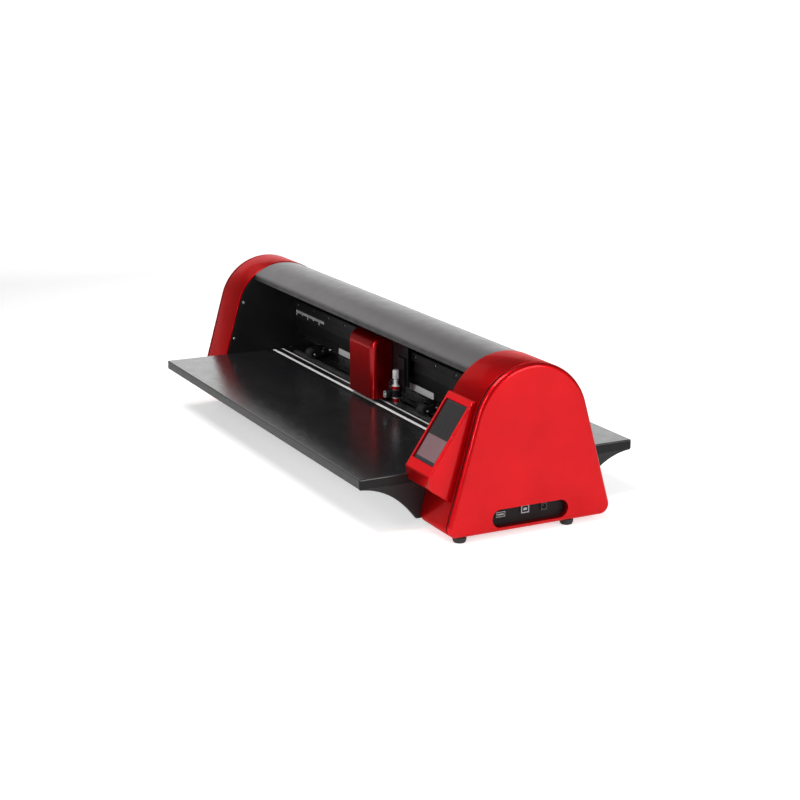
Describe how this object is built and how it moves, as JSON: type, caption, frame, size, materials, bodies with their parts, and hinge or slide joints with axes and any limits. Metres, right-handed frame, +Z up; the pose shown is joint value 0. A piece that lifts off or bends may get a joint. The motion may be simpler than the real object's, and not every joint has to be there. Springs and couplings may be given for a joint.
{
  "type": "vinyl cutter",
  "caption": "Desktop roll-fed vinyl cutter: arched red end housings, curved top cover, front and rear media tables, sliding tool carriage, pinch rollers, grit drum and touchscreen pod.",
  "frame": {"origin": "centre of the footprint at the bottom of the feet", "axes": "+X along the machine towards the screen end, +Y towards the rear, +Z up; the front faces -Y"},
  "size_m": [0.879, 0.4092, 0.2227],
  "materials": {
    "red_gloss": "glossy red",
    "black_panel": "satin black paint",
    "table_black": "semi-gloss black paint",
    "cover_satin": "satin black",
    "black_metal": "black anodised or painted metal",
    "grey_metal": "grey metal",
    "steel": "bright steel",
    "bright_metal": "bright aluminium",
    "pale_strip": "pale cutting strip",
    "screen": "dark glossy screen",
    "circuit_board": "green circuit board",
    "dark_plastic": "black plastic",
    "rubber": "black rubber"
  },
  "bodies": {
    "chassis": {"left_shell": "red_gloss", "right_shell": "red_gloss", "left_end_cap": "red_gloss", "right_end_cap": "red_gloss", "pod_housing": "red_gloss", "touchscreen": "screen", "left_wing_plate": "black_panel", "right_wing_plate": "black_panel", "left_side_plate": "black_panel", "right_side_plate": "black_panel", "front_table": "table_black", "rear_table": "table_black", "top_cover": "cover_satin", "base_frame": "black_metal", "platen": "black_metal", "platen_trim_strip": "bright_metal", "cutting_strip": "pale_strip", "beam": "black_metal", "guide_rail": "black_metal", "pinch_bar": "black_metal", "left_scale_plate": "bright_metal", "right_scale_plate": "bright_metal", "pinch_pivot_shaft": "steel", "drum_motor": "black_metal", "drum_motor_bracket": "steel", "drum_belt": "rubber", "left_drum_bearing": "steel", "right_drum_bearing": "steel", "carriage_motor": "black_metal", "carriage_motor_bracket": "steel", "carriage_belt": "rubber", "idler_bracket": "steel", "main_board": "circuit_board", "port_panel": "dark_plastic", "usb_a_port": "bright_metal", "usb_b_port": "bright_metal", "power_jack": "dark_plastic", "front_left_foot": "rubber", "front_right_foot": "rubber", "rear_left_foot": "rubber", "rear_right_foot": "rubber"},
    "drum": {"grit_drum": "grey_metal", "drum_pulley": "steel"},
    "drum_motor_rotor": {"drum_motor_pulley": "steel"},
    "drive_pulley": {"carriage_drive_pulley": "steel"},
    "idler": {"idler_pulley": "steel"},
    "carriage": {"carriage_plate": "black_metal", "bearing_block": "grey_metal", "carriage_cover": "red_gloss"},
    "tool": {"tool_slide": "black_metal", "blade_holder": "bright_metal"},
    "knob": {"clamp_knob": "dark_plastic"},
    "left_arm": {"left_pinch_arm": "black_metal", "left_pinch_spring": "steel"},
    "right_arm": {"right_pinch_arm": "black_metal", "right_pinch_spring": "steel"},
    "left_roller": {"left_pinch_roller": "rubber"},
    "right_roller": {"right_pinch_roller": "rubber"},
    "release": {"release_shaft": "steel", "release_lever": "dark_plastic"}
  },
  "joints": [
    {"name": "carriage_slide", "type": "slide", "parent": "chassis", "child": "carriage", "axis": [1, 0, 0], "range_m": [-0.3, 0.27]},
    {"name": "drive_pulley_spin", "type": "hinge", "parent": "chassis", "child": "drive_pulley", "pos_m": [0.395, 0.0275, 0.176], "axis": [0, 1, 0], "continuous": true},
    {"name": "idler_spin", "type": "hinge", "parent": "chassis", "child": "idler", "pos_m": [-0.335, 0.0275, 0.176], "axis": [0, 1, 0], "continuous": true},
    {"name": "tool_lift", "type": "slide", "parent": "carriage", "child": "tool", "axis": [0, 0, 1], "range_m": [-0.0027, 0], "stiffness_N_per_m": 300, "springref_m": 0.006},
    {"name": "knob_turn", "type": "hinge", "parent": "tool", "child": "knob", "pos_m": [0.065, -0.02, 0.0986], "axis": [0, -1, 0], "range_deg": [0, 360]},
    {"name": "drum_spin", "type": "hinge", "parent": "chassis", "child": "drum", "pos_m": [0, 0.011, 0.0684], "axis": [1, 0, 0], "continuous": true},
    {"name": "drum_motor_spin", "type": "hinge", "parent": "chassis", "child": "drum_motor_rotor", "pos_m": [0.373, -0.038, 0.062], "axis": [1, 0, 0], "continuous": true},
    {"name": "release_turn", "type": "hinge", "parent": "chassis", "child": "release", "pos_m": [0, 0.05, 0.0995], "axis": [-1, 0, 0], "range_deg": [0, 30]},
    {"name": "left_arm_tilt", "type": "hinge", "parent": "chassis", "child": "left_arm", "pos_m": [-0.272, 0.04, 0.09], "axis": [-1, 0, 0], "range_deg": [0, 10]},
    {"name": "right_arm_tilt", "type": "hinge", "parent": "chassis", "child": "right_arm", "pos_m": [0.121, 0.04, 0.09], "axis": [-1, 0, 0], "range_deg": [0, 10]},
    {"name": "left_roller_spin", "type": "hinge", "parent": "left_arm", "child": "left_roller", "pos_m": [-0.272, 0.011, 0.0851], "axis": [1, 0, 0], "continuous": true},
    {"name": "right_roller_spin", "type": "hinge", "parent": "right_arm", "child": "right_roller", "pos_m": [0.121, 0.011, 0.0851], "axis": [1, 0, 0], "continuous": true}
  ],
  "couplings": [
    {"joint": "drive_pulley_spin", "follows": "carriage_slide", "rad_per_m": -142.86},
    {"joint": "idler_spin", "follows": "carriage_slide", "rad_per_m": -142.86},
    {"joint": "drum_motor_spin", "follows": "drum_spin", "ratio": 2},
    {"joint": "left_roller_spin", "follows": "drum_spin", "ratio": -1.2162},
    {"joint": "right_roller_spin", "follows": "drum_spin", "ratio": -1.2162},
    {"joint": "left_arm_tilt", "follows": "release_turn", "ratio": 0.3333},
    {"joint": "right_arm_tilt", "follows": "release_turn", "ratio": 0.3333}
  ]
}
